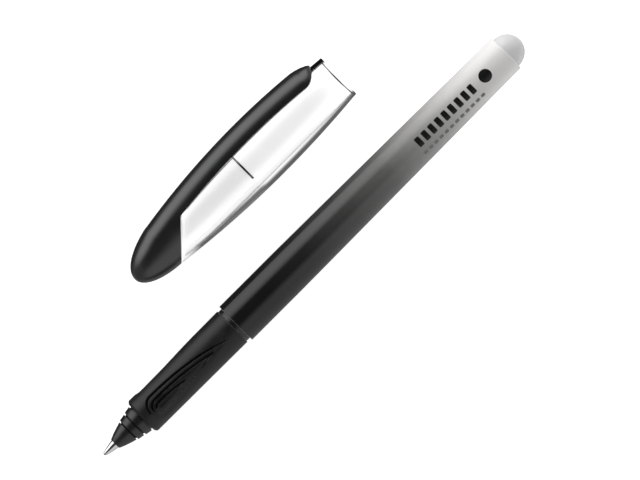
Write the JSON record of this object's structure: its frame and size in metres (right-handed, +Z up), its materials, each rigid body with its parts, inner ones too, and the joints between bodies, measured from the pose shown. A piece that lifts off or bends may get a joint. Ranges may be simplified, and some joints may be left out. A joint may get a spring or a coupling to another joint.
{
  "type": "cartridge rollerball pen",
  "caption": "Rollerball pen with a rubber grip, screwed barrel and ink cartridges, its clear clip cap off and laid beside it.",
  "frame": {"origin": "on the floor, under the middle of the box around pen and cap", "axes": "+X along the pen from its writing point to its tail, +Y from the pen towards its cap, +Z up from the floor"},
  "size_m": [0.127, 0.0356, 0.0131],
  "materials": {
    "carbide": "polished hard-metal ball",
    "bright_steel": "bright drawn steel",
    "white_plastic": "plain moulded",
    "wick_fibre": "bonded fibre",
    "nose_plastic": "satin black",
    "collector_plastic": "plain moulded",
    "sleeve_plastic": "clear",
    "grip_rubber": "soft matt black",
    "cartridge_plastic": "translucent, ink-blue",
    "seal_glass": "smooth bead",
    "barrel_gloss": "high gloss, fading from black at the front to white at the tail",
    "plug_plastic": "milky white",
    "clear_plastic": "clear and glossy",
    "crown_plastic": "satin black"
  },
  "bodies": {
    "section": {"point_cone": "bright_steel", "point_adapter": "white_plastic", "ink_wick": "wick_fibre", "nose_cone": "nose_plastic", "ink_collector": "collector_plastic", "collector_sleeve": "sleeve_plastic", "piercing_tube": "bright_steel", "section_core": "nose_plastic", "grip_sleeve": "grip_rubber"},
    "ball": {"writing_ball": "carbide"},
    "cartridge": {"cartridge_shell": "cartridge_plastic"},
    "bead": {"cartridge_ball": "seal_glass"},
    "spare": {"spare_shell": "cartridge_plastic", "spare_ball": "seal_glass"},
    "barrel": {"barrel_tube": "barrel_gloss", "tail_plug": "plug_plastic"},
    "cap": {"cap_shell": "clear_plastic", "inner_cap": "clear_plastic", "cap_crown": "crown_plastic"},
    "clip": {"clip_arm": "crown_plastic"}
  },
  "joints": [
    {"name": "ball_roll", "type": "hinge", "parent": "section", "child": "ball", "pos_m": [-0.06315, -0.01277, 0.00505], "axis": [0, 1, 0], "continuous": true},
    {"name": "cartridge_pull", "type": "slide", "parent": "section", "child": "cartridge", "axis": [1, 0, 0], "range_m": [0, 0.009]},
    {"name": "bead_roll", "type": "slide", "parent": "cartridge", "child": "bead", "axis": [1, 0, 0], "range_m": [-0.017, 0.0105]},
    {"name": "barrel_draw", "type": "slide", "parent": "section", "child": "spare", "axis": [1, 0, 0], "range_m": [0, 0.045]},
    {"name": "barrel_turn", "type": "hinge", "parent": "spare", "child": "barrel", "pos_m": [-0.02328, -0.01277, 0.00505], "axis": [1, 0, 0], "range_deg": [0, 5400]},
    {"name": "cap_slide", "type": "slide", "parent": "section", "child": "cap", "axis": [-1, 0, 0], "range_m": [0, 0.095]},
    {"name": "clip_flex", "type": "hinge", "parent": "cap", "child": "clip", "pos_m": [-0.0149, 0.01558, 0.00654], "axis": [0, 0, 1], "range_deg": [0, 4], "stiffness_Nm_per_rad": 0.5}
  ],
  "couplings": [
    {"joint": "barrel_turn", "follows": "barrel_draw", "rad_per_m": 2094.4}
  ]
}
